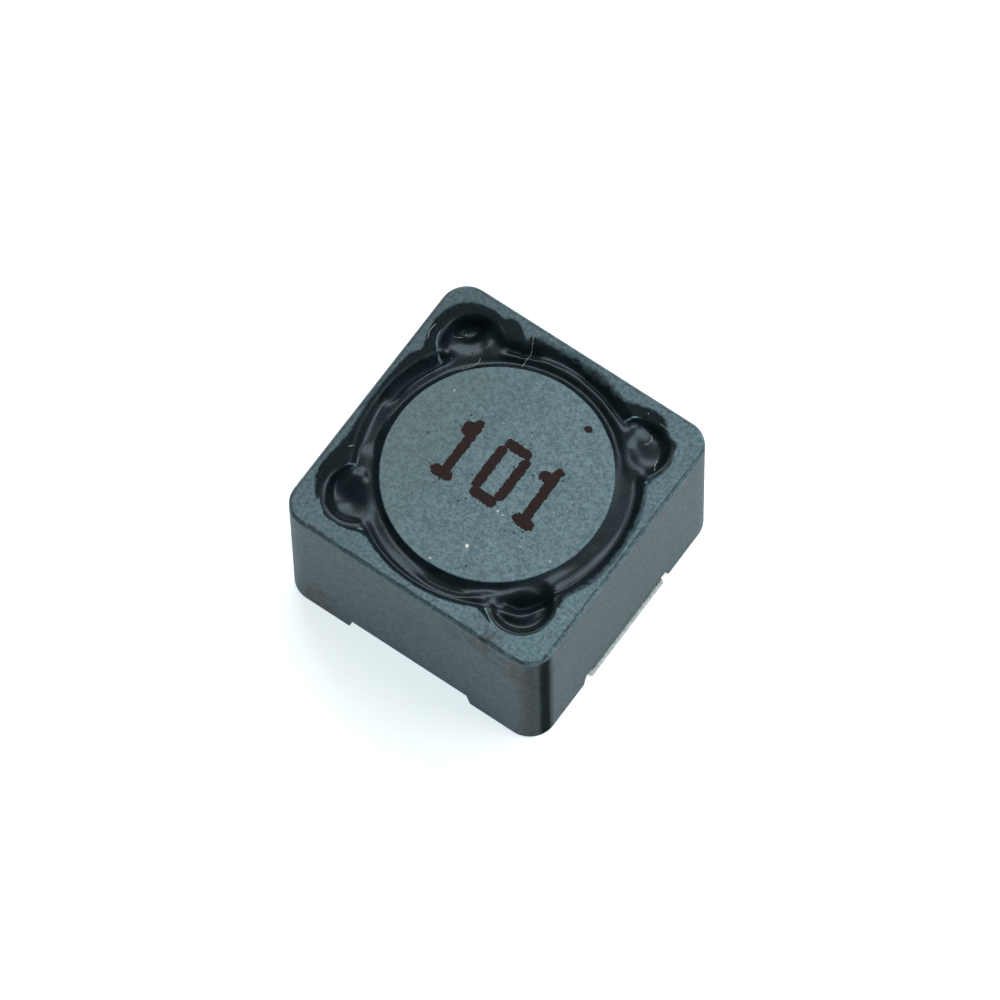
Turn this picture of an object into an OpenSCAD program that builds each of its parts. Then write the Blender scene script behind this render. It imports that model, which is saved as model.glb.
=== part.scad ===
// Shielded surface-mount power inductor.
// A ferrite drum carries the winding and stands inside a square ferrite shield
// ring. Black epoxy locks the drum in the ring's mouth. Two folded, tinned clips
// under the ring take the ends of the wire and are soldered to the board.
// Millimetres, +Z up. The origin is on the board, under the middle of the body.

/* [Shield ring] */
// Side of the square body
body_w = 12.5; // [11.5:0.1:14]
// Height of the body above the board
body_h = 7.5; // [6.5:0.1:10]
// Radius of the body's four upright corners
corner_r = 1.15; // [0.6:0.05:1.6]
// Break along the body's top and bottom edges
edge_break = 0.12; // [0.05:0.01:0.2]
// Wall between the bore and the middle of a side
side_wall = 0.95; // [0.85:0.05:1.4]
// Radius of the four glue lobes that open out of the bore
lobe_r = 1.4; // [1.2:0.05:1.5]
// Wall between a lobe and the nearest outer face
lobe_wall = 0.8; // [0.6:0.05:1]
// Width of the flare round the mouth of the bore
flare_w = 0.6; // [0.3:0.05:0.7]
// Depth of that flare
flare_depth = 0.4; // [0.2:0.05:0.6]
// Height of the notch under each side
notch_h = 0.72; // [0.6:0.02:1]
// Width of a notch along its ceiling
notch_w = 5.6; // [5.2:0.1:6.2]
// How far each end of a notch leans out on its way down
notch_lean = 0.2; // [0.05:0.05:0.4]

/* [Drum core] */
// Gap between the drum's flanges and the bore
flange_gap = 0.55; // [0.45:0.05:0.8]
// Thickness of each flange
flange_t = 1.3; // [1:0.1:1.6]
// Break along the flanges' outer rims
flange_break = 0.08; // [0.04:0.01:0.12]
// Diameter of the post between the flanges
post_d = 5; // [4:0.1:5.6]
// Depth of the drum's top below the ring's top
drum_recess = 0.1; // [0:0.05:0.3]
// Clearance between the drum and the level of the notch ceilings
drum_lift = 0.13; // [0.1:0.01:0.4]
// Width of the two grooves in the lower flange that let the wire out
groove_w = 0.9; // [0.8:0.05:1.2]

/* [Winding] */
// Diameter of the enamelled wire
wire_d = 0.4; // [0.3:0.02:0.5]
// Layers of turns on the post
layers = 5; // [3:1:5]
// How far each turn beds against the next
turn_nest = 0.02; // [0.01:0.01:0.04]
// Slack between the turns and each flange
window_slack = 0.05; // [0.02:0.01:0.2]
// Radius of the bend where an end of the wire turns down, on its middle line
lead_bend = 0.3; // [0.26:0.02:0.4]
// Height of the cut ends of the wire above the board
lead_lift = 0.04; // [0.02:0.01:0.1]

/* [Epoxy] */
// How far the epoxy stands proud of the ring's top
epoxy_proud = 0.05; // [0.02:0.01:0.1]
// Depth of the epoxy below the ring's top
epoxy_depth = 1.2; // [0.8:0.05:1.35]
// How far the epoxy ran out over the ring's top, round the mouth
spill_w = 0.1; // [0.02:0.01:0.2]
// How much further it ran out at three of the lobes
lobe_spill_w = 0.45; // [0.1:0.05:0.5]
// Depth of the bead's crest below the ring's top
bead_depth = 0.12; // [0.08:0.01:0.16]
// Distance from the drum to the bead's crest
bead_reach = 0.2; // [0.1:0.05:0.3]
// Depth of the crease between the bead and the film on the flare
crease_depth = 0.27; // [0.22:0.01:0.3]
// Distance of the crease outside the bore's wall
crease_reach = 0.16; // [0.1:0.01:0.2]
// Width of the bowl in each lobe
bowl_w = 2.3; // [1.8:0.1:2.4]
// Depth of three of the bowls
bowl_depth = 0.34; // [0.2:0.02:0.5]
// Depth of the fourth bowl, where the epoxy sank most
deep_bowl_depth = 0.62; // [0.4:0.02:0.75]
// Width of the slots where the epoxy drained away
drain_w = 0.34; // [0.2:0.02:0.4]
// Depth of those slots below the surface round them
drain_depth = 0.14; // [0.06:0.02:0.2]
// Width of the ridges where the epoxy was dragged
ridge_w = 0.3; // [0.2:0.02:0.4]
// Height of those ridges over the surface round them
ridge_h = 0.1; // [0.04:0.01:0.12]

/* [Terminals] */
// Width of a terminal clip
clip_w = 4.9; // [4.4:0.1:5.1]
// Thickness of the tinned strip
strip_t = 0.2; // [0.12:0.01:0.22]
// How far a clip stands proud of the ring's side
clip_proud = 0.1; // [0.05:0.01:0.2]
// Radius of the clip's two folds, on the outside
fold_r = 0.3; // [0.26:0.01:0.3]
// Length of the solder foot, along the board
foot_l = 2.7; // [2.5:0.1:3]
// Length of the upper leaf, which is bonded under the ring
leaf_l = 1.2; // [0.9:0.1:1.2]
// Width of the slot that takes the end of the wire
slot_w = 0.7; // [0.6:0.05:0.9]

/* [Solder] */
// Radius of the hollow fillet of solder round the wire
solder_fillet = 0.42; // [0.3:0.02:0.46]
// Thickness of the solder at the fillet's edges
solder_rim = 0.06; // [0.03:0.01:0.1]

/* [Hidden] */
$fn = 96;

// A cut runs this far past the faces that it opens
past = 0.5;

// Bore and lobes
bore_r = body_w / 2 - side_wall;
lobe_at = body_w / 2 - lobe_wall - lobe_r;
mouth_r = bore_r + flare_w;

// Drum: its two faces, its flanges and the window that the winding fills
flange_r = bore_r - flange_gap;
drum_bottom = notch_h + drum_lift;
drum_top = body_h - drum_recess;
window_bottom = drum_bottom + flange_t;
window_top = drum_top - flange_t;

// Epoxy: the crest of its bead, the crease, and the round section of the bead between
bead_at = flange_r + bead_reach;
crease_at = bore_r + crease_reach;
bead_run = crease_at - bead_at;
bead_fall = crease_depth - bead_depth;
bead_r = (bead_run * bead_run + bead_fall * bead_fall) / (2 * bead_fall);

// Winding: whole turns that fit the window, centred in it
turn_pitch = wire_d - turn_nest;
window_h = window_top - window_bottom - 2 * window_slack;
turns = floor((window_h - wire_d) / turn_pitch) + 1;
first_turn = (window_bottom + window_top - (turns - 1) * turn_pitch) / 2;
outer_turn_r = post_d / 2 + (layers - 0.5) * turn_pitch;

// The ends of the wire come down through the grooves and into the clips' slots
lead_at = outer_turn_r + lead_bend;
groove_end = lead_at - groove_w / 2;

// Clips: the outer skin of the folds, and the inner edges of foot and leaf
clip_face = body_w / 2 + clip_proud;
foot_end = clip_face - foot_l;
leaf_end = clip_face - leaf_l;

// Half of a block's upright section, with its top and bottom edges broken
module broken_edge(width, height, edge) {
    polygon([[0, 0], [width - edge, 0], [width, edge],
             [width, height - edge], [width - edge, height], [0, height]]);
}

// Square block with round upright corners, all its edges broken alike
module rounded_block(side, height, radius, edge) {
    flat = side - 2 * radius;
    translate([-flat / 2, -flat / 2, 0])
        cube([flat, flat, height]);
    for (turn = [0:3])
        rotate(90 * turn) {
            translate([flat / 2, flat / 2, 0])
                rotate_extrude(angle = 90)
                    broken_edge(radius, height, edge);
            translate([flat / 2, flat / 2, 0])
                rotate([90, 0, 0])
                    linear_extrude(flat)
                        broken_edge(radius, height, edge);
        }
}

// The round bore with its four lobes, and the flare at its mouth
module lobed_opening(bottom, top) {
    translate([0, 0, bottom])
        linear_extrude(top - bottom) {
            circle(bore_r);
            for (x = [-lobe_at, lobe_at], y = [-lobe_at, lobe_at])
                translate([x, y])
                    circle(lobe_r);
        }
    flare_bottom = body_h - flare_depth;
    flare_h = top - flare_bottom;
    translate([0, 0, flare_bottom])
        cylinder(h = flare_h, r1 = bore_r, r2 = bore_r + flare_w * flare_h / flare_depth);
}

// One notch, cut right through under two opposite sides
module notch_cut() {
    rotate([90, 0, 0])
        linear_extrude(body_w + 2 * past, center = true)
            polygon([[-notch_w / 2, notch_h],
                     [-notch_w / 2 - notch_lean * (1 + past / notch_h), -past],
                     [notch_w / 2 + notch_lean * (1 + past / notch_h), -past],
                     [notch_w / 2, notch_h]]);
}

// Pressed ferrite ring: square outside, lobed inside, standing on four corner feet
module shield_ring() {
    color("slategray")
        difference() {
            rounded_block(body_w, body_h, corner_r, edge_break);
            lobed_opening(-past, body_h + past);
            notch_cut();
            rotate(90)
                notch_cut();
        }
}

// Groove in the lower flange, with a round inner end
module lead_groove() {
    translate([lead_at, 0, drum_bottom - past]) {
        cylinder(h = flange_t + 2 * past, d = groove_w);
        translate([0, -groove_w / 2, 0])
            cube([flange_r, groove_w, flange_t + 2 * past]);
    }
}

// Ferrite drum: two flanges and a post turned in one piece
module drum_core() {
    color("lightslategray")
        difference() {
            union() {
                translate([0, 0, drum_bottom])
                    rotate_extrude()
                        broken_edge(flange_r, flange_t, flange_break);
                translate([0, 0, window_bottom])
                    cylinder(h = window_top - window_bottom, d = post_d);
                translate([0, 0, window_top])
                    rotate_extrude()
                        broken_edge(flange_r, flange_t, flange_break);
            }
            lead_groove();
            rotate(180)
                lead_groove();
        }
}

// End of the wire: out of the lowest turn, round a bend and straight down
module lead_out() {
    translate([lead_at - lead_bend, 0, first_turn - lead_bend])
        rotate([90, 0, 0])
            rotate_extrude(angle = 90)
                translate([lead_bend, 0])
                    circle(d = wire_d);
    translate([lead_at, 0, lead_lift])
        cylinder(h = first_turn - lead_bend - lead_lift, d = wire_d);
}

// The wound wire: its layers as one ribbed coil, with both of its ends
module winding() {
    color("peru") {
        rotate_extrude() {
            translate([post_d / 2, first_turn - wire_d / 2])
                square([outer_turn_r - post_d / 2, (turns - 1) * turn_pitch + wire_d]);
            for (turn = [0:turns - 1])
                translate([outer_turn_r, first_turn + turn * turn_pitch])
                    circle(d = wire_d);
        }
        lead_out();
        rotate(180)
            lead_out();
    }
}

// Plan of the epoxy on the ring's top: it ran out round the mouth and at three lobes
module spill() {
    circle(mouth_r + spill_w);
    for (x = [-lobe_at, lobe_at], y = [-lobe_at, lobe_at])
        translate([x, y])
            circle(x > 0 && y < 0 ? lobe_r + spill_w : lobe_r + lobe_spill_w);
}

// Hollow between the drum and the rim: it leaves a bead, a crease and a film on the flare
module channel_cut() {
    rotate_extrude()
        difference() {
            polygon([[bore_r - flange_gap - past, body_h - crease_depth],
                     [crease_at, body_h - crease_depth],
                     [mouth_r + spill_w / 2, body_h + epoxy_proud],
                     [mouth_r + spill_w / 2, body_h + past],
                     [bore_r - flange_gap - past, body_h + past]]);
            translate([bead_at, body_h - bead_depth - bead_r])
                circle(bead_r);
        }
}

// Dished top of the epoxy in one lobe
module bowl_cut(depth) {
    full_depth = depth + epoxy_proud;
    bowl_r = (bowl_w * bowl_w / 4 + full_depth * full_depth) / (2 * full_depth);
    translate([lobe_at, lobe_at, body_h - depth + bowl_r])
        sphere(bowl_r, $fn = 40);
}

// Round bar bent along an arc
module bent_bar(radius, from, to, width) {
    rotate(from)
        rotate_extrude(angle = to - from)
            translate([radius, 0])
                circle(d = width, $fn = 32);
}

// Slot along an arc: the bar's lowest line lies drain_depth under a surface at this level
module drain(radius, from, to, level) {
    translate([0, 0, body_h + level - drain_depth + drain_w / 2])
        bent_bar(radius, from, to, drain_w);
}

// Ridge along an arc: the bar's highest line lies ridge_h over a surface at this level
module ridge(radius, from, to, level) {
    translate([0, 0, body_h + level + ridge_h - ridge_w / 2])
        bent_bar(radius, from, to, ridge_w);
}

// The slots: beside the drum on two sides, in two lobes, and an eye in the fourth lobe
module drains() {
    drain(crease_at, 153, 178, -bead_depth);
    drain(crease_at, 107, 121, -bead_depth);
    translate([lobe_at, lobe_at, 0])
        drain(lobe_r - drain_w, 68, 140, -bead_depth);
    translate([-lobe_at, -lobe_at, 0])
        drain(lobe_r - drain_w, 125, 195, -bead_depth);
    translate([lobe_at, -lobe_at, 0])
        rotate(45)
            translate([0, lobe_r + drain_w, 0])
                drain(lobe_r, -123, -57, -bowl_depth);
}

// The ridges: on both sides of the long slot, under the short one, and at the +X side
module ridges() {
    ridge(mouth_r - ridge_w / 2, 154, 180, -ridge_h);
    ridge((bead_at + crease_at) / 2, 150, 174, -bead_depth);
    ridge((bead_at + crease_at) / 2, 94, 122, -bead_depth);
    ridge(crease_at - ridge_w / 2, -34, -6, -bead_depth - ridge_h / 2);
}

// All that the epoxy's sinking left open over it
module sunk_cut() {
    difference() {
        union() {
            channel_cut();
            for (turn = [0, 2, 3])
                rotate(90 * turn)
                    bowl_cut(bowl_depth);
            rotate(90)
                bowl_cut(deep_bowl_depth);
            drains();
        }
        ridges();
    }
}

// Black epoxy that fills the mouth round the drum's upper flange
module top_epoxy() {
    color([0.06, 0.08, 0.09])
        difference() {
            union() {
                lobed_opening(body_h - epoxy_depth, body_h);
                translate([0, 0, body_h])
                    linear_extrude(epoxy_proud)
                        spill();
            }
            translate([0, 0, window_top - past])
                cylinder(h = body_h - window_top + 2 * past, r = flange_r);
            sunk_cut();
        }
}

// Section of a clip: foot below, leaf above, joined by two folds
module clip_section() {
    inner_r = fold_r - strip_t;
    difference() {
        union() {
            translate([foot_end, 0])
                square([foot_l - fold_r, strip_t]);
            translate([leaf_end, notch_h - strip_t])
                square([leaf_l - fold_r, strip_t]);
            translate([clip_face - strip_t, fold_r])
                square([strip_t, notch_h - 2 * fold_r]);
            for (z = [fold_r, notch_h - fold_r])
                translate([clip_face - fold_r, z])
                    circle(fold_r);
        }
        for (z = [fold_r, notch_h - fold_r])
            translate([clip_face - fold_r, z])
                circle(inner_r);
        translate([leaf_end - past, strip_t])
            square([clip_face - fold_r - leaf_end + past, notch_h - 2 * strip_t]);
        translate([clip_face - fold_r - past, fold_r])
            square([inner_r + past, notch_h - 2 * fold_r]);
    }
}

// Slot in the inner edge of a foot, with a round end round the wire
module slot_cut() {
    translate([lead_at, 0, -past]) {
        cylinder(h = strip_t + 2 * past, d = slot_w);
        translate([foot_end - lead_at - past, -slot_w / 2, 0])
            cube([lead_at - foot_end + past, slot_w, strip_t + 2 * past]);
    }
}

// Tinned clip under the +X side
module clip() {
    difference() {
        rotate([90, 0, 0])
            linear_extrude(clip_w, center = true)
                clip_section();
        slot_cut();
    }
}

module left_terminal() {
    color("gainsboro")
        mirror([1, 0, 0])
            clip();
}

module right_terminal() {
    color("gainsboro")
        clip();
}

// Solder in a slot, and the hollow fillet that climbs the wire above it
module solder_joint() {
    fillet_w = wire_d / 2 + solder_fillet + solder_rim;
    fillet_h = solder_fillet + solder_rim;
    difference() {
        union() {
            translate([lead_at, 0, lead_lift])
                cylinder(h = strip_t - lead_lift, d = slot_w);
            translate([lead_at, 0, strip_t])
                rotate_extrude()
                    difference() {
                        square([fillet_w, fillet_h]);
                        translate([fillet_w, fillet_h])
                            circle(solder_fillet);
                    }
        }
        translate([lead_at, 0, -past])
            cylinder(h = drum_bottom + past, d = wire_d);
    }
}

module left_solder() {
    color("silver")
        mirror([1, 0, 0])
            solder_joint();
}

module right_solder() {
    color("silver")
        solder_joint();
}

shield_ring();
drum_core();
winding();
top_epoxy();
left_terminal();
right_terminal();
left_solder();
right_solder();
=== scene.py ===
# %% [markdown]
# # A shielded power inductor
#
# The object is a small square electronic part, 12.5 mm wide and 7.5 mm high. A ferrite
# drum with a copper winding stands in a ferrite ring. Black epoxy fills the mouth of the
# ring, a code is printed on the drum, and two tinned clips are folded under the ring.
#
# The solids come from the CAD model, which is loaded here as a fixed frame. The lesson
# gives them their finishes, and models what a solid model leaves out: the uneven epoxy,
# the print and a little lint. Everything is in metres, so a millimetre gets a name.

# %% Load the frame
import math
import random

import bmesh
import bpy
from mathutils import Matrix, Vector, noise
from mathutils.geometry import interpolate_bezier


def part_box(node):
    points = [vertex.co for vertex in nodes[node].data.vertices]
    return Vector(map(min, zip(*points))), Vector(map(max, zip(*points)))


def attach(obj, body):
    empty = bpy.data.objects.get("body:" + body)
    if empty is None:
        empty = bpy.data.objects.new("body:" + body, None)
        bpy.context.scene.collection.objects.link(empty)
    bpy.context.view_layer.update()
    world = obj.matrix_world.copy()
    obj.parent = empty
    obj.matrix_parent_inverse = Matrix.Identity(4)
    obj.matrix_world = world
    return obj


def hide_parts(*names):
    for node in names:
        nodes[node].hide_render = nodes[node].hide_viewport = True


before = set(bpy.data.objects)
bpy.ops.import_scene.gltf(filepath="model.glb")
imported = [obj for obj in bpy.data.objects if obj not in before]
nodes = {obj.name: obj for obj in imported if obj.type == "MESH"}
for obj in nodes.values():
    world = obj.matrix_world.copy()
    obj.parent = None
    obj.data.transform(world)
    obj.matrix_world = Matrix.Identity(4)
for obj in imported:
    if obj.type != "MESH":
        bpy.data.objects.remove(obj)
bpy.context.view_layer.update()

MM = 0.001
print("CAD nodes:", sorted(nodes))

# %% [markdown]
# ## Where things are
#
# Main sizes are read from the frame and not typed in again. The ring gives the height of
# its rim and half of its width, and the drum gives the height and radius of its top disc.
# Where the CAD model changes, the pieces made below follow it.

# %% Measure the frame
ring_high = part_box("shield_ring")[1]
drum_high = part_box("drum_core")[1]
fill_low, fill_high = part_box("top_epoxy")

RIM_Z = ring_high.z
HALF_WIDTH = ring_high.x
DISC_Z = drum_high.z
DISC_R = drum_high.x
print("rim at", round(RIM_Z / MM, 3), "mm, disc at", round(DISC_Z / MM, 3), "mm")
print("disc radius", round(DISC_R / MM, 3), "mm")

# %% [markdown]
# ## The camera
#
# The part is seen from a steep angle, over the corner between its front and its right
# side, through a long lens that keeps the sides nearly parallel. The camera's direction
# is worked out from an azimuth and an elevation, and a small roll finishes it. A matrix
# built from three directions avoids any doubt about the order of rotations.

# %% Place the camera
CAMERA_AZIMUTH = math.radians(36.65)
CAMERA_ELEVATION = math.radians(65.91)
CAMERA_ROLL = math.radians(-1.57)
CAMERA_DISTANCE = 390.5 * MM
CAMERA_LENS = 347.5
LOOK_AT = Vector((-1.23 * MM, 1.79 * MM, 0.0))


def direction(azimuth, elevation):
    """A unit vector: azimuth 0 looks from -Y, and 90 degrees looks from +X."""
    flat = math.cos(elevation)
    return Vector((math.sin(azimuth) * flat, -math.cos(azimuth) * flat, math.sin(elevation)))


back = direction(CAMERA_AZIMUTH, CAMERA_ELEVATION)
level = Vector((math.cos(CAMERA_AZIMUTH), math.sin(CAMERA_AZIMUTH), 0.0))
upward = back.cross(level)
right = math.cos(CAMERA_ROLL) * level + math.sin(CAMERA_ROLL) * upward
up = math.cos(CAMERA_ROLL) * upward - math.sin(CAMERA_ROLL) * level

camera_data = bpy.data.cameras.new("camera")
camera_data.lens = CAMERA_LENS
camera_data.clip_start = 0.01
camera = bpy.data.objects.new("camera", camera_data)
bpy.context.scene.collection.objects.link(camera)
turn = Matrix((right, up, back)).transposed().to_4x4()
camera.matrix_world = Matrix.Translation(LOOK_AT + back * CAMERA_DISTANCE) @ turn
bpy.context.scene.camera = camera
print("camera at mm", [round(v / MM, 1) for v in camera.matrix_world.translation])

# %% [markdown]
# ## The light
#
# The part stands in a light tent. The main softbox stands at the right and
# throws the shadow to the left. A wide one stands behind, and a glossy form that leans
# back mirrors it to the camera. A weak roof gives level faces a dim shine, and the walls
# are the world's plain grey. Each lamp is aimed by an azimuth and an elevation, because
# those two angles say at once which slopes will mirror it. The levels add up to about one
# on a level face, so a colour renders about as written.

# %% Light the tent
WORLD_LEVEL = 0.08


def softbox(name, azimuth, elevation, distance, width, height, radiance):
    """Adds a flat panel of even light that faces the part; its power follows from its area."""
    data = bpy.data.lights.new(name, "AREA")
    data.shape = "RECTANGLE"
    data.size = width
    data.size_y = height
    data.energy = radiance * math.pi * width * height
    panel = bpy.data.objects.new(name, data)
    bpy.context.scene.collection.objects.link(panel)
    towards = direction(math.radians(azimuth), math.radians(elevation))
    panel.location = towards * distance
    panel.rotation_euler = towards.to_track_quat("Z", "Y").to_euler()


softbox("right_softbox", 131, 56, 0.6, 0.42, 0.26, 5.3)
softbox("back_softbox", 212, 45, 0.6, 0.44, 0.26, 4.5)
softbox("tent_roof", 214, 68, 1.0, 0.62, 0.62, 0.34)

world = bpy.data.worlds.new("tent")
world.use_nodes = True
world.node_tree.nodes["Background"].inputs["Color"].default_value = (1, 1, 1, 1)
world.node_tree.nodes["Background"].inputs["Strength"].default_value = WORLD_LEVEL
bpy.context.scene.world = world
bpy.context.scene.view_settings.view_transform = "Standard"

# %% [markdown]
# ## Node helpers
#
# Every material here is built from nodes, so a pattern costs no image. A material starts
# from its Principled shader. Three helpers make the script shorter: one starts a
# material, one sets sockets by their names, and one does a step of arithmetic.

# %% Helpers for node materials
def new_material(name):
    """A material, its nodes and links, and its Principled shader."""
    material = bpy.data.materials.new(name)
    material.use_nodes = True
    tree = material.node_tree
    return material, tree.nodes, tree.links, tree.nodes["Principled BSDF"]


def put(node, **values):
    """Sets sockets of a node by their names; underscores stand for spaces."""
    for name, value in values.items():
        node.inputs[name.replace("_", " ")].default_value = value
    return node


def math_node(tree_nodes, links, operation, first, second=0.0):
    """One step of arithmetic; each side may be a socket or a number."""
    node = tree_nodes.new("ShaderNodeMath")
    node.operation = operation
    for socket, value in zip(node.inputs, (first, second)):
        if isinstance(value, bpy.types.NodeSocket):
            links.new(value, socket)
        else:
            socket.default_value = value
    return node.outputs[0]


print("helpers:", new_material.__name__, put.__name__, math_node.__name__)

# %% [markdown]
# ## The floor
#
# A white sweep. White paint alone would come out light grey, and more lamps would burn
# out the part. So the floor gives off a little light of its own, but only to the
# camera and to mirror rays, and it keeps the soft shadow that the part throws.

# %% Make the floor
FLOOR_RADIUS = 3.0
FLOOR_GLOW = 0.8


def floor_material():
    """White paint that glows a little, for camera and mirror rays only."""
    material, tree_nodes, links, shader = new_material("white_sweep")
    put(shader, Base_Color=(0.84, 0.86, 0.87, 1), Roughness=0.9)
    put(shader, Emission_Color=(0.875, 0.97, 1.0, 1))
    rays = tree_nodes.new("ShaderNodeLightPath").outputs
    seen = math_node(tree_nodes, links, "MAXIMUM", rays["Is Camera Ray"], rays["Is Glossy Ray"])
    seen = math_node(tree_nodes, links, "MAXIMUM", seen, rays["Is Transmission Ray"])
    glow = math_node(tree_nodes, links, "MULTIPLY", seen, FLOOR_GLOW)
    links.new(glow, shader.inputs["Emission Strength"])
    return material


floor_mesh = bmesh.new()
bmesh.ops.create_circle(floor_mesh, cap_ends=True, radius=FLOOR_RADIUS, segments=64)
floor_data = bpy.data.meshes.new("floor")
floor_mesh.to_mesh(floor_data)
floor_mesh.free()
floor = bpy.data.objects.new("floor", floor_data)
bpy.context.scene.collection.objects.link(floor)
floor.data.materials.append(floor_material())
print("floor radius", FLOOR_RADIUS, "m")

# %% [markdown]
# ## Ferrite
#
# Ferrite is a pressed and fired ceramic. It is matt, dark and slightly blue, with a fine
# grain, small dark pits and a few pale specks. Noise in Object coordinates gives the
# grain, because it needs no unwrapping and has the same scale on every face. The
# coordinates are scaled to millimetres first, so each noise scale reads as a real size.

# %% Coordinates and noise
def millimetres(tree_nodes, links):
    """Object coordinates in millimetres."""
    place = tree_nodes.new("ShaderNodeTexCoord")
    scale = tree_nodes.new("ShaderNodeVectorMath")
    scale.operation = "SCALE"
    scale.inputs["Scale"].default_value = 1 / MM
    links.new(place.outputs["Object"], scale.inputs[0])
    return scale.outputs[0]


def grain(tree_nodes, links, where, scale, detail=3.0, roughness=0.6):
    """A noise value round 0.5; scale is in waves per millimetre."""
    node = tree_nodes.new("ShaderNodeTexNoise")
    put(node, Scale=scale, Detail=detail, Roughness=roughness)
    links.new(where, node.inputs["Vector"])
    return node.outputs["Fac"]


def remap(tree_nodes, links, value, low, high, to_low=0.0, to_high=1.0):
    """Maps low..high to to_low..to_high, and clamps."""
    node = tree_nodes.new("ShaderNodeMapRange")
    put(node, From_Min=low, From_Max=high, To_Min=to_low, To_Max=to_high)
    links.new(value, node.inputs["Value"])
    return node.outputs["Result"]


print("noise is read in mm, so a scale of 6 gives grains of about", round(1 / 6, 2), "mm")

# %% [markdown]
# A finish is layered as paint is: a ground colour, then one tint after another, each with
# its own mask. A mask is a value from 0 to 1. Noise gives the scattered ones, and the
# distance to a place gives a spot. Bump makes the light feel the grain.

# %% Tints, bump and spots
def tint(tree_nodes, links, base, colour, amount):
    """base mixed with colour by amount; either may be a socket or a plain colour."""
    node = tree_nodes.new("ShaderNodeMix")
    node.data_type = "RGBA"
    factor, first, second = node.inputs[0], node.inputs[6], node.inputs[7]
    for socket, value in ((first, base), (second, colour), (factor, amount)):
        if isinstance(value, bpy.types.NodeSocket):
            links.new(value, socket)
        elif isinstance(value, tuple):
            socket.default_value = (*value, 1.0)
        else:
            socket.default_value = value
    return node.outputs[2]


def bump(tree_nodes, links, shader, height, depth):
    """Raises the surface by up to depth metres where height is 1."""
    node = tree_nodes.new("ShaderNodeBump")
    put(node, Strength=1.0, Distance=depth)
    links.new(height, node.inputs["Height"])
    links.new(node.outputs["Normal"], shader.inputs["Normal"])


def axis(tree_nodes, links, where, name):
    """One coordinate of a place: X, Y or Z."""
    node = tree_nodes.new("ShaderNodeSeparateXYZ")
    links.new(where, node.inputs[0])
    return node.outputs[name]


def spot(tree_nodes, links, where, centre, reach):
    """1 at a place and 0 at reach mm from it."""
    gap = tree_nodes.new("ShaderNodeVectorMath")
    gap.operation = "DISTANCE"
    links.new(where, gap.inputs[0])
    gap.inputs[1].default_value = centre
    return remap(tree_nodes, links, gap.outputs["Value"], reach, 0.0)


print("tints, bumps and spots are ready for", len(nodes), "nodes")

# %% [markdown]
# Ring and drum are pressed from the same powder, so one function makes the bare ceramic
# of both. Fine noise mixes a dark and a light tone, slow noise adds clouds, and the ends
# of two more noises give pits and pale specks. What marks only one of the two pieces is
# added later, so the function hands its nodes back.

# %% Bare ferrite
GRAIN_SCALE = 6.0
GRAIN_DEPTH = 0.006 * MM
PIT = (0.01, 0.012, 0.014)
SPECK = (0.5, 0.55, 0.55)


def ferrite(name, dark, light, pit_share):
    """The bare ceramic; returns what the marks are added to."""
    material, tree_nodes, links, shader = new_material(name)
    where = millimetres(tree_nodes, links)
    fine = grain(tree_nodes, links, where, GRAIN_SCALE, 4.0, 0.85)
    mottle = grain(tree_nodes, links, where, 1.1, 3.0)
    pits = grain(tree_nodes, links, where, 5.0, 2.0)
    specks = grain(tree_nodes, links, where, 7.0, 1.0)
    colour = tint(tree_nodes, links, dark, light, remap(tree_nodes, links, fine, 0.42, 0.58))
    shade = remap(tree_nodes, links, mottle, 0.3, 0.7, 0.0, 0.35)
    colour = tint(tree_nodes, links, colour, dark, shade)
    holes = remap(tree_nodes, links, pits, pit_share, pit_share - 0.03)
    colour = tint(tree_nodes, links, colour, PIT, holes)
    pale = remap(tree_nodes, links, specks, 0.73, 0.77, 0.0, 0.5)
    colour = tint(tree_nodes, links, colour, SPECK, pale)
    put(shader, Roughness=0.62)
    bump(tree_nodes, links, shader, fine, GRAIN_DEPTH)
    return material, tree_nodes, links, shader, where, colour


def finish_node(name, material):
    """Gives a CAD node its material in all of its slots."""
    slots = nodes[name].data.materials
    slots.clear()
    slots.append(material)


print("ferrite grain depth in mm", GRAIN_DEPTH / MM)

# %% [markdown]
# The ring has marks of its own. Its top is darkened toward one corner: a painted shade. A
# thin dark line runs along the top near its edge, with a few pale chips beside it. The sides
# are darker than the top, a painted shade, most of all at the upright front corner and on
# the right side; at the corner it also stands for dark smudges. Brown smears run along the
# front side. Masks made of positions put each mark where it belongs, and noise keeps its
# border from looking drawn.

# %% Ring
# How much of each painted shade shows, the colour of the painted shade on the sides, and
# the edge line's distance from the side in mm.
TOP_SHADE = 0.52
SIDE_SHADE, CORNER_SHADE, RIGHT_SHADE = 0.28, 0.78, 0.34
SHADED = (0.022, 0.034, 0.036)
EDGE_LINE = 0.13
SMEARS = [
    # place in mm, reach, and how much of it shows
    ((3.6, -6.25, 6.8), 1.4, 0.75), ((5.1, -6.25, 6.3), 1.2, 0.7), ((2.2, -6.25, 6.2), 0.9, 0.45),
    ((-4.6, -6.25, 1.1), 1.8, 0.6), ((5.9, -5.9, 5.4), 1.6, 0.5), ((0.5, -6.25, 4.6), 1.6, 0.3),
]


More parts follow.
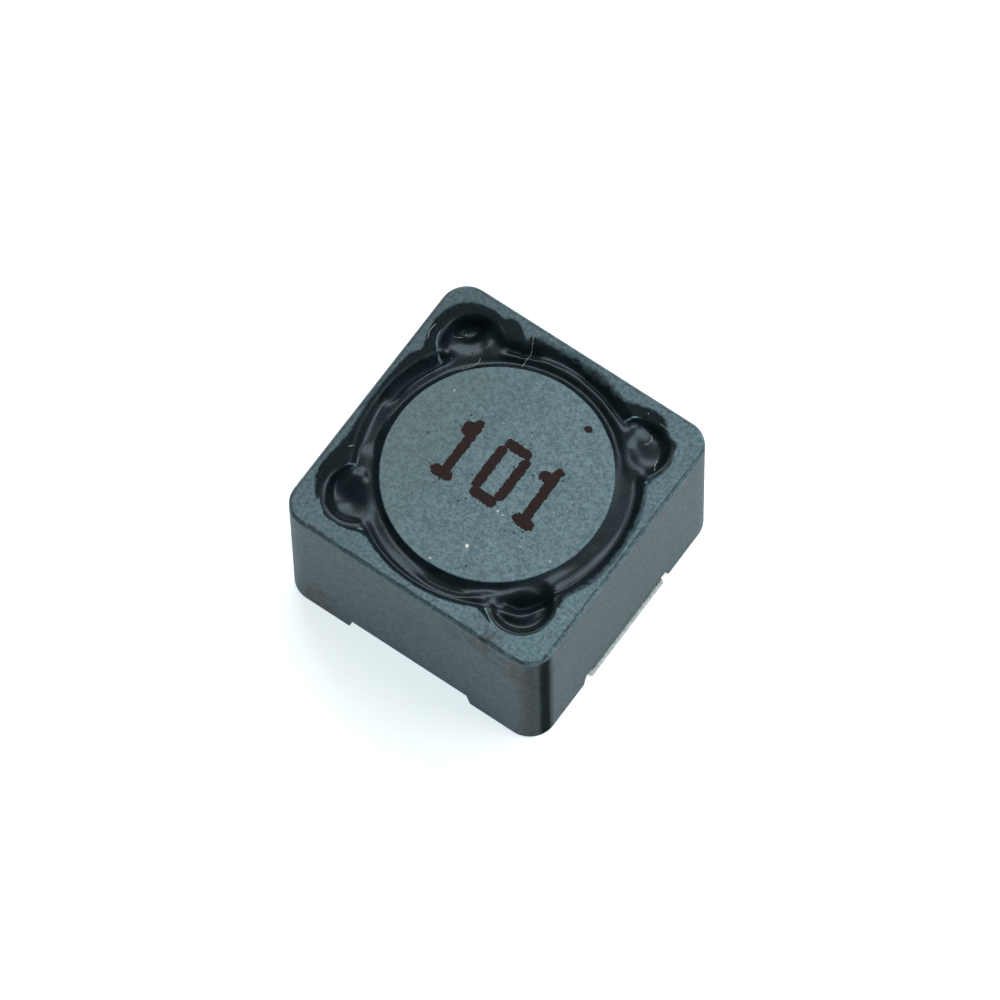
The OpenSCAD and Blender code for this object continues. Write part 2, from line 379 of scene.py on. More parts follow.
def ring_ferrite():
    """Ferrite with painted shade on its top and sides, a dark edge line, chips and smears."""
    material, tree_nodes, links, shader, where, colour = ferrite(
        "ring_ferrite", (0.066, 0.136, 0.162), (0.184, 0.314, 0.358), 0.27)
    x, y, z = (axis(tree_nodes, links, where, name) for name in "XYZ")
    top = remap(tree_nodes, links, z, RIM_Z / MM - 0.3, RIM_Z / MM - 0.05)

    # The top gets painted shade, growing to the left and to the back.
    leftward = math_node(tree_nodes, links, "MULTIPLY", x, -1.8)
    left_back = math_node(tree_nodes, links, "ADD", leftward, y)
    top_shade = remap(tree_nodes, links, left_back, -14.0, 15.0, 0.0, TOP_SHADE)
    top_shade = math_node(tree_nodes, links, "MULTIPLY", top_shade, top)
    colour = tint(tree_nodes, links, colour, (0.02, 0.035, 0.042), top_shade)

    # The sides get painted shade, the front right corner and the right side most; at the
    # corner it also stands for dark smudges. It shines less, too. Corner and right side
    # overlap in a narrow strip, where the two shades add up to full.
    sides = math_node(tree_nodes, links, "SUBTRACT", 1.0, top)
    front_corner = math_node(tree_nodes, links, "SUBTRACT", x, y)
    shade = remap(tree_nodes, links, front_corner, 11.2, 11.85, SIDE_SHADE, CORNER_SHADE)
    right_side = remap(tree_nodes, links, x, 6.0, 6.2, 0.0, RIGHT_SHADE)
    shade = math_node(tree_nodes, links, "ADD", shade, right_side)
    shade = math_node(tree_nodes, links, "MULTIPLY", shade, sides)
    colour = tint(tree_nodes, links, colour, SHADED, shade)
    links.new(remap(tree_nodes, links, shade, 0.62, 0.88, 0.5, 0.0), shader.inputs["Specular IOR Level"])

    # A thin dark line runs on the top at a set distance from the sides.
    out_x = math_node(tree_nodes, links, "ABSOLUTE", x)
    out_y = math_node(tree_nodes, links, "ABSOLUTE", y)
    out = math_node(tree_nodes, links, "MAXIMUM", out_x, out_y)
    ragged = grain(tree_nodes, links, where, 3.0)
    near = math_node(tree_nodes, links, "SUBTRACT", HALF_WIDTH / MM - EDGE_LINE, out)
    near = math_node(tree_nodes, links, "ABSOLUTE", near)
    near = math_node(tree_nodes, links, "ADD", near, remap(tree_nodes, links, ragged, 0.3, 0.7, 0.0, 0.05))
    line = remap(tree_nodes, links, near, 0.075, 0.03, 0.0, 0.75)
    line = math_node(tree_nodes, links, "MULTIPLY", line, top)
    colour = tint(tree_nodes, links, colour, (0.018, 0.026, 0.03), line)

    # Chips are pale, and sit only on the outermost edge of the top.
    chips = remap(tree_nodes, links, grain(tree_nodes, links, where, 4.0), 0.56, 0.62, 0.0, 0.6)
    rim = remap(tree_nodes, links, out, HALF_WIDTH / MM - 0.06, HALF_WIDTH / MM - 0.02)
    rim = math_node(tree_nodes, links, "MULTIPLY", rim, top)
    chips = math_node(tree_nodes, links, "MULTIPLY", chips, rim)
    colour = tint(tree_nodes, links, colour, (0.3, 0.36, 0.38), chips)

    # Smears are spots, broken up by cloudy noise.
    cloudy = grain(tree_nodes, links, where, 2.2, 4.0, 0.7)
    for centre, reach, share in SMEARS:
        mask = spot(tree_nodes, links, where, centre, reach)
        mask = math_node(tree_nodes, links, "MULTIPLY", mask, remap(tree_nodes, links, cloudy, 0.42, 0.6))
        mask = math_node(tree_nodes, links, "MULTIPLY", mask, share * 2)
        colour = tint(tree_nodes, links, colour, (0.03, 0.028, 0.024), mask)
    links.new(colour, shader.inputs["Base Color"])
    return material


finish_node("shield_ring", ring_ferrite())
print("ring:", len(SMEARS), "smears")

# %% [markdown]
# The drum's disc was ground flat, so it is a little paler and more even. A few specks and
# pits sit on it. They are put at listed places, because they are few enough to be noticed.

# %% Drum
DISC_MARKS = [
    # place in mm, reach, colour
    ((0.82, -3.23), 0.13, (0.9, 0.95, 0.9)), ((0.95, -1.30), 0.10, (0.55, 0.62, 0.6)),
    ((1.20, -1.34), 0.08, (0.5, 0.56, 0.55)), ((2.00, -1.70), 0.10, (0.06, 0.03, 0.03)),
    ((1.30, -3.97), 0.09, (0.012, 0.014, 0.016)), ((-0.08, -4.50), 0.09, (0.6, 0.62, 0.55)),
    ((-3.30, -0.10), 0.10, (0.03, 0.035, 0.03)), ((-2.30, -2.60), 0.07, (0.02, 0.024, 0.026)),
    ((3.90, -1.90), 0.07, (0.5, 0.55, 0.55)), ((0.10, 2.25), 0.07, (0.02, 0.024, 0.026)),
    ((2.55, -2.05), 0.06, (0.5, 0.55, 0.55)), ((-3.5, 2.0), 0.08, (0.4, 0.45, 0.45)),
]


def drum_ferrite():
    """Ferrite with a faint green cast to the left, and the disc's own marks."""
    material, tree_nodes, links, shader, where, colour = ferrite(
        "drum_ferrite", (0.074, 0.146, 0.168), (0.190, 0.314, 0.358), 0.25)
    away = axis(tree_nodes, links, where, "X")
    colour = tint(tree_nodes, links, colour, (0.09, 0.13, 0.12),
                  remap(tree_nodes, links, away, 1.5, -4.7, 0.0, 0.42))
    for (x, y), reach, mark in DISC_MARKS:
        mask = spot(tree_nodes, links, where, (x, y, DISC_Z / MM), reach)
        colour = tint(tree_nodes, links, colour, mark, remap(tree_nodes, links, mask, 0.25, 0.6))
    links.new(colour, shader.inputs["Base Color"])
    return material


finish_node("drum_core", drum_ferrite())
print("drum:", len(DISC_MARKS), "marks")

# %% [markdown]
# ## Metals
#
# The clips are strips of tinned metal that has dulled in patches. The solder is a little
# greyer, and the wire is copper under clear enamel. Noise drives the roughness as well
# as the colour, because tin that has dulled is both darker and less shiny. A clear coat
# stands for the enamel.

# %% Metals
def tinned_strip():
    """Bright tin with dull patches."""
    material, tree_nodes, links, shader = new_material("tinned_strip")
    where = millimetres(tree_nodes, links)
    dull = grain(tree_nodes, links, where, 7.0, 4.0, 0.75)
    links.new(remap(tree_nodes, links, dull, 0.3, 0.7, 0.2, 0.5), shader.inputs["Roughness"])
    colour = tint(tree_nodes, links, (0.40, 0.44, 0.43), (0.13, 0.13, 0.125),
                  remap(tree_nodes, links, dull, 0.5, 0.72))
    links.new(colour, shader.inputs["Base Color"])
    put(shader, Metallic=1.0)
    bump(tree_nodes, links, shader, dull, 0.01 * MM)
    return material


def solder_metal():
    """Satin solder."""
    material, tree_nodes, links, shader = new_material("solder")
    where = millimetres(tree_nodes, links)
    dull = grain(tree_nodes, links, where, 9.0)
    links.new(remap(tree_nodes, links, dull, 0.3, 0.7, 0.25, 0.5), shader.inputs["Roughness"])
    colour = tint(tree_nodes, links, (0.7, 0.7, 0.69), (0.5, 0.5, 0.5), dull)
    links.new(colour, shader.inputs["Base Color"])
    put(shader, Metallic=1.0)
    bump(tree_nodes, links, shader, dull, 0.02 * MM)
    return material


def enamelled_copper():
    """Copper wire under a clear coat."""
    material, tree_nodes, links, shader = new_material("enamelled_copper")
    where = millimetres(tree_nodes, links)
    patchy = grain(tree_nodes, links, where, 2.0)
    colour = tint(tree_nodes, links, (0.62, 0.25, 0.09), (0.78, 0.36, 0.15), patchy)
    links.new(colour, shader.inputs["Base Color"])
    put(shader, Metallic=1.0, Roughness=0.3, Coat_Weight=1.0, Coat_Roughness=0.1)
    return material


tin = tinned_strip()
solder = solder_metal()
for side in ("left", "right"):
    finish_node(side + "_terminal", tin)
    finish_node(side + "_solder", solder)
finish_node("winding", enamelled_copper())
print("metals:", "terminals, solder, winding")

# %% [markdown]
# ## The epoxy
#
# Epoxy was run into the mouth of the ring and then shrank as it cured. It clings to
# the rim and to the drum, and sinks between them: from outside in there is a thin film,
# a rounded lip, a steep hollow and a rise to the drum's edge. In the four lobes it dries
# to bowls. The plan is a ring whose outer edge follows the mouth, so the mesh is made by
# spinning a radial row of points, and each point is then moved out to its place and down
# to its depth. Rings of points that follow the edge let the lip follow it too.
#
# First comes the mouth in plan: a circle with four lobes. Its walls and its flare have
# the CAD model's sizes, in mm, and the rest follows from the ring's width.

# %% The outline of the mouth
RIM_WALL = 0.35
BORE_WALL = 0.95
LOBE_WALL = 0.8
LOBE_R = 1.4
FLARE_DEPTH = 0.4
MOUTH_R = HALF_WIDTH / MM - RIM_WALL
BORE_R = HALF_WIDTH / MM - BORE_WALL
LOBE_AT = HALF_WIDTH / MM - LOBE_WALL - LOBE_R
LOBE_OUT = math.hypot(LOBE_AT, LOBE_AT)
QUARTER = math.pi / 2


def outline(angle, round_r):
    """Radius, in mm, of a circle of round_r joined with the four lobes, in one direction."""
    turned = angle % QUARTER - QUARTER / 2
    across = LOBE_OUT * math.sin(turned)
    reach = 0.0
    if abs(across) < LOBE_R:
        reach = LOBE_OUT * math.cos(turned) + math.sqrt(LOBE_R**2 - across**2)
    return max(round_r, reach)


def off_lobe(x, y):
    """Distance, in mm, from a place to the middle of its nearest lobe."""
    return math.hypot(abs(x) - LOBE_AT, abs(y) - LOBE_AT)


print("mouth radius mm", [round(outline(math.radians(a), MOUTH_R), 2) for a in (0, 30, 45)])

# %% [markdown]
# Heights are written at a few places only, and two curves fill in between them. An S
# blends one form into the next without a kink. A cubic runs through given heights and
# keeps its slope from one stretch to the next, which matters here: a glossy surface shows
# every kink in its slope as a hard line.

# %% Two curves
def smooth(value):
    """0 below 0, 1 above 1, and an even S between."""
    value = min(max(value, 0.0), 1.0)
    return value * value * (3 - 2 * value)


def cubic(points, at):
    """Height at a place on a smooth curve through points, flat beyond both ends."""
    if at <= points[0][0]:
        return points[0][1]
    for i in range(len(points) - 1):
        (x0, y0), (x1, y1) = points[i], points[i + 1]
        if at <= x1:
            before = points[max(i - 1, 0)]
            after = points[min(i + 2, len(points) - 1)]
            width = x1 - x0
            slope0 = (y1 - before[1]) / (x1 - before[0]) * width
            slope1 = (after[1] - y0) / (after[0] - x0) * width
            t = (at - x0) / width
            return (y0 * (2 * t**3 - 3 * t**2 + 1) + slope0 * (t**3 - 2 * t**2 + t)
                    + y1 * (3 * t**2 - 2 * t**3) + slope1 * (t**3 - t**2))
    return points[-1][1]


print("S at a quarter:", round(smooth(0.25), 3), "cubic:", round(cubic([(0, 0), (1, 1), (2, 0)], 0.5), 3))

# %% [markdown]
# The section of the fill changes on its way round, as a real one does. So it is written
# at a few directions, as heights over the rim at fixed distances from the middle, and a
# soft blend joins each section to the next. From the drum outwards there is a dip, a bead
# that rises gently and drops sharply into a crease, and a thin film up to the rim.

# %% Sections of the fill between drum and ring
STATIONS = (4.66, 4.80, 4.94, 5.06, 5.18, 5.30, 5.42, 5.54, 5.66, 5.80, 5.95)
SECTIONS = {
    # direction in degrees: heights over the rim, in mm, at the stations
    -38: (-0.085, -0.110, -0.120, -0.095, -0.075, -0.080, -0.115, -0.150, -0.140, -0.05, 0.0),
    -28: (-0.085, -0.095, -0.090, -0.070, -0.055, -0.060, -0.095, -0.140, -0.160, -0.05, 0.0),
    -14: (-0.085, -0.092, -0.096, -0.098, -0.100, -0.118, -0.158, -0.215, -0.170, -0.05, 0.0),
    16: (-0.085, -0.105, -0.122, -0.135, -0.142, -0.145, -0.160, -0.185, -0.130, -0.04, 0.01),
    62: (-0.085, -0.170, -0.235, -0.195, -0.150, -0.130, -0.165, -0.225, -0.140, -0.05, 0.0),
    90: (-0.085, -0.175, -0.250, -0.205, -0.165, -0.165, -0.220, -0.235, -0.150, -0.05, 0.01),
    118: (-0.085, -0.170, -0.240, -0.195, -0.155, -0.145, -0.120, -0.100, -0.070, -0.02, 0.02),
    150: (-0.085, -0.165, -0.225, -0.228, -0.218, -0.212, -0.212, -0.200, -0.120, -0.03, 0.02),
    176: (-0.085, -0.170, -0.235, -0.240, -0.232, -0.225, -0.235, -0.232, -0.140, -0.04, 0.01),
    192: (-0.085, -0.150, -0.215, -0.268, -0.295, -0.290, -0.270, -0.245, -0.160, -0.04, 0.01),
    212: (-0.085, -0.150, -0.210, -0.260, -0.280, -0.270, -0.245, -0.220, -0.150, -0.04, 0.01),
    236: (-0.085, -0.175, -0.255, -0.225, -0.185, -0.140, -0.115, -0.140, -0.160, -0.05, 0.0),
    258: (-0.085, -0.175, -0.255, -0.240, -0.195, -0.160, -0.128, -0.115, -0.150, -0.05, 0.0),
    284: (-0.085, -0.170, -0.245, -0.290, -0.300, -0.260, -0.190, -0.150, -0.145, -0.05, 0.0),
    304: (-0.085, -0.150, -0.200, -0.180, -0.130, -0.100, -0.105, -0.140, -0.150, -0.05, 0.0),
}
TURNS = sorted(SECTIONS)


def ring_height(radius, angle):
    """Height over the rim, in mm, of the fill between drum and ring."""
    degrees = math.degrees(angle) % 360
    if degrees >= TURNS[0] + 360:
        degrees -= 360
    before = max(turn for turn in TURNS if turn <= degrees)
    later = [turn for turn in TURNS if turn > degrees]
    after = later[0] if later else TURNS[0] + 360
    share = smooth((degrees - before) / (after - before))
    here = cubic(list(zip(STATIONS, SECTIONS[before])), radius)
    there = cubic(list(zip(STATIONS, SECTIONS[after if later else TURNS[0]])), radius)
    return here + (there - here) * share


BEAD_AT = 5.2
print("bead height in mm", {turn: round(ring_height(BEAD_AT, math.radians(turn)), 3) for turn in TURNS[::4]})

# %% [markdown]
# In a lobe the epoxy sinks further, each time in its own way. A lobe is given the width
# of its outer wall and its depth at distances from the bowl's middle, so a bowl can be
# shallow, deep or humped with the same few numbers.

# %% Lobes
LIP = 0.02
LOBES = {
    # by the signs of x and y: wall width, how far out the bowl's middle lies, and the
    # depth at distances from that middle
    (1, 1): (0.46, 0.60, [(0.0, -0.30), (0.5, -0.29), (0.78, -0.235), (1.05, -0.13), (1.25, -0.10)]),
    (-1, 1): (0.34, 0.80, [(0.0, -0.70), (0.12, -0.665), (0.30, -0.57), (0.45, -0.44), (0.58, -0.345),
                           (0.70, -0.295), (0.85, -0.258), (1.0, -0.222), (1.15, -0.195), (1.5, -0.20)]),
    (-1, -1): (0.50, 0.35, [(0.0, -0.44), (0.14, -0.425), (0.4, -0.36), (0.8, -0.24), (1.25, -0.15)]),
    (1, -1): (0.34, 0.0, [(0.0, -0.26), (0.35, -0.24), (0.60, -0.19), (0.82, -0.22), (1.1, -0.30)]),
}


def lobe_height(x, y):
    """The dished surface in the nearest lobe, in mm over the rim."""
    wall, out, depths = LOBES[math.copysign(1, x), math.copysign(1, y)]
    middle = LOBE_AT + out / math.sqrt(2)
    inside = max(LOBE_R - off_lobe(x, y), MOUTH_R - math.hypot(x, y))
    depth = cubic(depths, math.hypot(abs(x) - middle, abs(y) - middle))
    return LIP + (depth - LIP) * smooth(inside / wall)


print("bowl depths in mm", [depths[0][1] for _, _, depths in LOBES.values()])

# %% [markdown]
# Then come the chance forms: slots where the epoxy drained and ridges where it was
# dragged. Each is a stroke, a smooth path with a width and a height. Its section is a
# bell curve and both of its ends fade, so it grows out of the surface without a step.

# %% Strokes
STROKES = [
    # height and half width (mm), and the path; slots are negative and ridges are positive
    (-0.24, 0.20, [(4.84, -3.00), (4.58, -3.46), (4.24, -3.90), (3.82, -4.24), (3.20, -4.48)]),
    (0.07, 0.18, [(4.95, -2.30), (4.62, -2.86), (4.20, -3.28), (3.70, -3.72), (3.20, -4.22), (2.60, -4.72)]),
    (0.09, 0.18, [(4.84, -2.60), (4.98, -3.12), (4.90, -3.60), (4.68, -4.04), (4.36, -4.40), (4.00, -4.64),
                  (3.56, -4.80), (2.90, -4.84)]),
    (0.05, 0.17, [(3.40, -4.66), (2.90, -4.78), (2.50, -4.86), (2.10, -4.96), (1.50, -5.12)]),
    (-0.22, 0.18, [(-4.36, 3.40), (-4.60, 3.05), (-4.82, 2.66), (-5.03, 2.24), (-5.27, 1.65), (-5.42, 0.90),
                   (-5.48, -0.1)]),
    (0.09, 0.16, [(-4.90, 3.15), (-5.12, 2.80), (-5.38, 2.34), (-5.64, 1.60), (-5.76, 0.80), (-5.78, -0.2)]),
    (0.05, 0.13, [(-4.44, 3.00), (-4.60, 2.50), (-4.86, 1.76), (-5.05, 1.14), (-5.12, 0.30)]),
    (-0.16, 0.26, [(-5.00, 2.95), (-5.08, 3.45), (-5.06, 3.95), (-4.92, 4.45), (-4.60, 4.84), (-4.20, 5.04),
                   (-3.60, 5.14)]),
    (-0.22, 0.15, [(-3.20, 4.64), (-2.80, 4.76), (-2.38, 4.91), (-1.92, 5.07), (-1.30, 5.28)]),
    (0.07, 0.14, [(-3.10, 4.32), (-2.70, 4.46), (-2.16, 4.68), (-1.64, 4.90), (-1.10, 5.06), (-0.20, 5.22)]),
    (0.06, 0.24, [(-3.70, 4.96), (-3.20, 5.20), (-2.80, 5.26), (-2.10, 5.34)]),
    (0.06, 0.22, [(-3.76, 5.20), (-3.66, 4.84), (-3.50, 4.44), (-3.26, 4.02), (-3.14, 3.70)]),
    (0.03, 0.15, [(-5.20, 3.50), (-5.30, 4.15), (-5.24, 4.60), (-4.96, 5.02), (-4.50, 5.34), (-3.80, 5.52)]),
    (-0.14, 0.16, [(0.10, 5.52), (0.95, 5.43), (1.60, 5.27), (2.24, 5.05), (2.76, 4.92), (3.20, 4.98),
                   (3.66, 5.08), (4.15, 5.06), (4.66, 4.80)]),
    (0.03, 0.16, [(2.50, 5.08), (2.92, 5.14), (3.20, 5.24), (3.54, 5.31), (3.95, 5.29), (4.50, 5.08)]),
    (0.05, 0.32, [(2.60, 4.62), (3.10, 4.58), (3.60, 4.62), (4.10, 4.42), (4.50, 4.10)]),
    (0.03, 0.14, [(4.96, 4.90), (5.14, 4.50), (5.20, 4.10), (5.14, 3.60), (4.94, 3.10)]),
    (-0.19, 0.17, [(-4.64, -2.70), (-4.84, -3.04), (-5.00, -3.36), (-5.10, -3.72), (-5.08, -4.10),
                   (-4.88, -4.6)]),
    (0.09, 0.22, [(-5.06, -1.70), (-4.86, -2.16), (-4.62, -2.54), (-4.42, -2.94), (-4.34, -3.30),
                  (-4.42, -3.70), (-4.74, -4.06)]),
    (0.08, 0.20, [(-4.96, -2.40), (-5.18, -2.90), (-5.34, -3.34), (-5.36, -3.80), (-5.22, -4.40)]),
    (-0.05, 0.09, [(-2.80, -5.10), (-2.20, -5.40), (-1.60, -5.62), (-0.90, -5.74), (0.10, -5.78)]),
    (-0.06, 0.10, [(-0.20, -5.26), (0.50, -5.28), (1.10, -5.20), (1.70, -5.04), (2.40, -4.78)]),
]
FADE = 0.75


def smooth_path(points, pieces=5):
    """More points, on a smooth curve through the given ones."""
    knots = [Vector(point) for point in points]
    path = []
    for i in range(len(knots) - 1):
        start, end = knots[i], knots[i + 1]
        before, after = knots[max(i - 1, 0)], knots[min(i + 2, len(knots) - 1)]
        leave, arrive = start + (end - before) / 6, end - (after - start) / 6
        path += interpolate_bezier(start, leave, arrive, end, pieces)[:-1]
    return path + [knots[-1]]


def prepare(height, half_width, points):
    """A stroke with its smooth path, its length and the box that it can reach."""
    path = smooth_path(points)
    length = sum((b - a).length for a, b in zip(path, path[1:]))
    reach = 3 * half_width
    low = (min(p.x for p in path) - reach, min(p.y for p in path) - reach)
    high = (max(p.x for p in path) + reach, max(p.y for p in path) + reach)
    return height, half_width, path, length, low, high


READY = [prepare(*stroke) for stroke in STROKES]


def stroke_heights(x, y):
    """What the strokes add at a point, in mm: slots and ridges apart."""
    slots = ridges = 0.0
    for height, half_width, path, length, low, high in READY:
        if not (low[0] < x < high[0] and low[1] < y < high[1]):
            continue
        nearest, at, done = 99.0, 0.0, 0.0
        for a, b in zip(path, path[1:]):
            step = b - a
            share = min(max(((x - a.x) * step.x + (y - a.y) * step.y) / step.length_squared, 0.0), 1.0)
            gap = math.hypot(x - a.x - step.x * share, y - a.y - step.y * share)
            if gap < nearest:
                nearest, at = gap, done + step.length * share
            done += step.length
        faded = height * smooth(at / FADE) * smooth((length - at) / FADE)
        added = faded * math.exp(-((nearest / half_width) ** 2))
        if height < 0:
            slots += added
        else:
            ridges += added
    return slots, ridges


print("strokes:", len(READY), "and the longest in mm", round(max(stroke[3] for stroke in READY), 2))

# %% [markdown]
# All forms are added up in one function, the height of the epoxy at a place. It blends
# the fill of the ring into the bowl where a lobe begins, adds the strokes and a slight
# waviness, and never goes below the ferrite that the epoxy lies on. In a lobe there is
# none, because the lobe runs down through the ring.

# %% Height of the surface
FILM = 0.018
WAVINESS = 0.012


def least_height(x, y):
    """The ferrite under the epoxy, with a film on it, in mm over the rim."""
    flare = min((math.hypot(x, y) - MOUTH_R) * FLARE_DEPTH / (MOUTH_R - BORE_R), 0.0)
    return flare + FILM - 0.6 * smooth((LOBE_R + 0.12 - off_lobe(x, y)) / 0.3)


def epoxy_height(x, y):
    """Height of the epoxy over the rim, in mm."""
    radius, angle = math.hypot(x, y), math.atan2(y, x)
    from_disc = radius - DISC_R / MM
    ring = ring_height(radius, angle)
    in_lobe = smooth((LOBE_R - off_lobe(x, y)) / 0.6) * smooth((from_disc - 0.08) / 0.5)
    height = ring + (lobe_height(x, y) - ring) * in_lobe
    near_disc = smooth((from_disc + 0.02) / 0.12)
    height += sum(stroke_heights(x, y)) * near_disc
    height += WAVINESS * noise.noise(Vector((x * 1.3, y * 1.3, 7.7))) * near_disc
    return max(height, least_height(x, y))


print("heights across the right side mm", [round(epoxy_height(r, -1), 2) for r in (4.8, 5.0, 5.3, 5.6, 5.9)])

# %% [markdown]
# Some epoxy ran over the rim and dried on the ring's top, most of all round the lobe at
# the back left. Where it ends is chance, so the edge is a list of distances by direction,
# with a cubic through them and a little noise on top. It keeps inside the broken edge.

# %% Where the epoxy ends on the ring
RUN_OUT_LIMIT = 6.12
EDGE = [
    # direction in degrees, distance in mm
    (-8, 6.08), (0, 6.04), (8, 6.02), (17, 6.05), (25, 6.02), (30, 6.05), (37, 6.86), (42, 7.16),
    (45, 7.32), (48, 7.08), (51, 7.10), (54, 7.12), (58, 6.92), (62, 6.54), (67, 6.08), (75, 6.04),
    (93, 6.08), (104, 6.1), (111, 6.24), (114, 6.06), (117, 6.6), (120, 6.82), (123, 6.84), (126, 7.18),
    (131, 7.52), (137, 7.66),
    (144, 7.38), (149, 6.86), (154, 6.3), (158, 6.38), (165, 6.22), (175, 6.12), (190, 6.1), (197, 6.16),
    (203, 6.42), (209, 6.88), (215, 7.22), (222, 7.30), (229, 7.2), (234, 6.86), (237, 6.48), (241, 6.02),
    (250, 5.95), (290, 5.95), (298, 6.0), (302, 6.45), (305, 6.76), (310, 7.1), (315, 7.3),
    (319, 7.14), (324, 6.8), (328, 6.4), (332, 6.1), (345, 6.12), (352, 6.08), (360, 6.04),
]


def top_reach(angle):
    """Outer edge of the epoxy on the rim, in mm, with its small wanderings."""
    wave = noise.noise(Vector((math.cos(angle) * 9, math.sin(angle) * 9, 1.3)))
    reach = max(cubic(EDGE, math.degrees(angle) % 360), outline(angle, MOUTH_R) + 0.03) + 0.03 * wave
    return min(reach, RUN_OUT_LIMIT / max(abs(math.cos(angle)), abs(math.sin(angle))))


print("epoxy reaches, in mm,", [round(top_reach(math.radians(a)), 2) for a in (0, 45, 135, 225, 315)])

# %% [markdown]
# The mesh starts as one edge. Cuts turn it into a row of points, and a spin turns the
# row into a flat ring, the surface. Its two open borders are extruded down twice, for the
# flare and for the floor, and bridging the last two borders closes the solid. Each point
# keeps the plan place that the spin gave it, so one function can send it to its real place.

# %% Spin a flat ring and close it
RINGS = 64
SPOKES = 720


def flat_epoxy():
    """A closed flat ring, and the layer that says which level each point is on."""
    mesh = bmesh.new()
    level = mesh.verts.layers.int.new("level")
    first = mesh.verts.new((1, 0, 0))
    last = mesh.verts.new((2, 0, 0))
    edge = mesh.edges.new((first, last))
    bmesh.ops.subdivide_edges(mesh, edges=[edge], cuts=RINGS - 1)
    bmesh.ops.spin(mesh, geom=mesh.verts[:] + mesh.edges[:], cent=(0, 0, 0), axis=(0, 0, 1),
                   angle=2 * math.pi, steps=SPOKES, use_merge=True)
    border = [item for item in mesh.edges if item.is_boundary]
    for number in (1, 2):
        grown = bmesh.ops.extrude_edge_only(mesh, edges=border)["geom"]
        border = [item for item in grown if isinstance(item, bmesh.types.BMEdge)]
        for item in grown:
            if isinstance(item, bmesh.types.BMVert):
                item[level] = number
        border = [item for item in border if all(v[level] == number for v in item.verts)]
    bmesh.ops.bridge_loops(mesh, edges=border)
    return mesh, level


def epoxy_place(level, share, angle):
    """Where a point goes: level 0 is the surface, 1 the foot of the flare, 2 the floor."""
    inner = DISC_R / MM
    outer = outline(angle, BORE_R)
    z = (RIM_Z / MM - FLARE_DEPTH, fill_low.z / MM)[level - 1]
    if level == 0:
        inner += 0.03 * noise.noise(Vector((math.cos(angle) * 5, math.sin(angle) * 5, 9.2))) - 0.05
        outer = top_reach(angle)
    radius = inner + (outer - inner) * share
    x, y = radius * math.cos(angle), radius * math.sin(angle)
    if level == 0:
        feather = smooth((outer - radius) / 0.14)
        z = min(RIM_Z / MM + epoxy_height(x, y) * feather - 0.002 * (1 - feather), fill_high.z / MM)
    return Vector((x, y, z)) * MM


print("points on the surface", (RINGS + 1) * SPOKES)

# %% [markdown]
# With each point in its place, three values are left on it for the material. "film"
# grows to 1 at the epoxy's edge, where the layer is so thin that the ferrite shows
# through. "run_out" is 1 where epoxy ran over the rim and dried matt. "drained" is 1 in
# the slots, where the material turns the shine down as a painted shade. Last, the surface
# is softened, as surface tension softens the real one, and lifted again where that sank it
# into ferrite.

# %% Shape the epoxy
SOFTENING = 18
FILM_WIDTH = 0.2
WIDER_FILM = [
    # middle and spread in degrees, and how much wider in mm
    (0, 34, 0.22), (88, 20, 0.5), (180, 22, 0.04),
]


def around(humps, angle):
    """Sum of soft humps (middle and spread in degrees, size) in one direction."""
    total = 0.0
    for middle, spread, size in humps:
        off = (math.degrees(angle) - middle + 180) % 360 - 180
        total += size * math.exp(-((off / spread) ** 2))
    return total


def build_epoxy():
    """The epoxy as a closed mesh, with its three values on its points."""
    mesh, level = flat_epoxy()
    film, run_out, drained = (mesh.verts.layers.float.new(name) for name in ("film", "run_out", "drained"))
    for vert in mesh.verts:
        share = math.hypot(vert.co.x, vert.co.y) - 1
        angle = math.atan2(vert.co.y, vert.co.x)
        vert.co = epoxy_place(vert[level], share, angle)
        radius = math.hypot(vert.co.x, vert.co.y) / MM
        width = FILM_WIDTH + around(WIDER_FILM, angle)
        vert[film] = 1 - smooth((top_reach(angle) - radius) / width)
        vert[run_out] = smooth((radius - outline(angle, MOUTH_R) + 0.16) / 0.22)
        # Mask of the slots, where the material paints shade by turning the shine down.
        vert[drained] = smooth(-stroke_heights(vert.co.x / MM, vert.co.y / MM)[0] / 0.13)

    surface = []
    for vert in mesh.verts:
        if vert[level] == 0 and all(edge.other_vert(vert)[level] == 0 for edge in vert.link_edges):
            surface.append(vert)
    for _ in range(SOFTENING):
        bmesh.ops.smooth_vert(mesh, verts=surface, factor=0.5, use_axis_z=True)
    for vert in surface:
        least = RIM_Z + least_height(vert.co.x / MM, vert.co.y / MM) * MM
        if vert[film] < 0.5:
            vert.co.z = max(vert.co.z, least)
    bmesh.ops.recalc_face_normals(mesh, faces=mesh.faces[:])
    return mesh


def add_piece(name, mesh, material, sharp_angle=50):
    """Makes an object of a bmesh, with smooth faces that break at sharp edges."""
    data = bpy.data.meshes.new(name)
    mesh.to_mesh(data)
    mesh.free()
    data.shade_smooth()
    data.set_sharp_from_angle(angle=math.radians(sharp_angle))
    data.materials.append(material)
    piece = bpy.data.objects.new(name, data)
    bpy.context.scene.collection.objects.link(piece)
    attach(piece, "root")
    return piece


print("film width in mm, by direction", {a: round(FILM_WIDTH + around(WIDER_FILM, math.radians(a)), 2)
                                         for a in (0, 90, 180, 270)})

# %% [markdown]
# The epoxy is black, and nearly all that is seen of it is what it mirrors. So its finish
# is a matter of roughness and shine: glossy in the channel and the bowls, matt where it ran
# out thinly, and with its shine turned down in the slots, which is a painted shade.
# Attributes carry the three values from the points into the material, because they hold
# what only the shape knows.

# %% Epoxy's finish
def attribute(tree_nodes, name):
    """A value that rides on the mesh's points."""
    node = tree_nodes.new("ShaderNodeAttribute")
    node.attribute_name = name
    return node.outputs["Fac"]


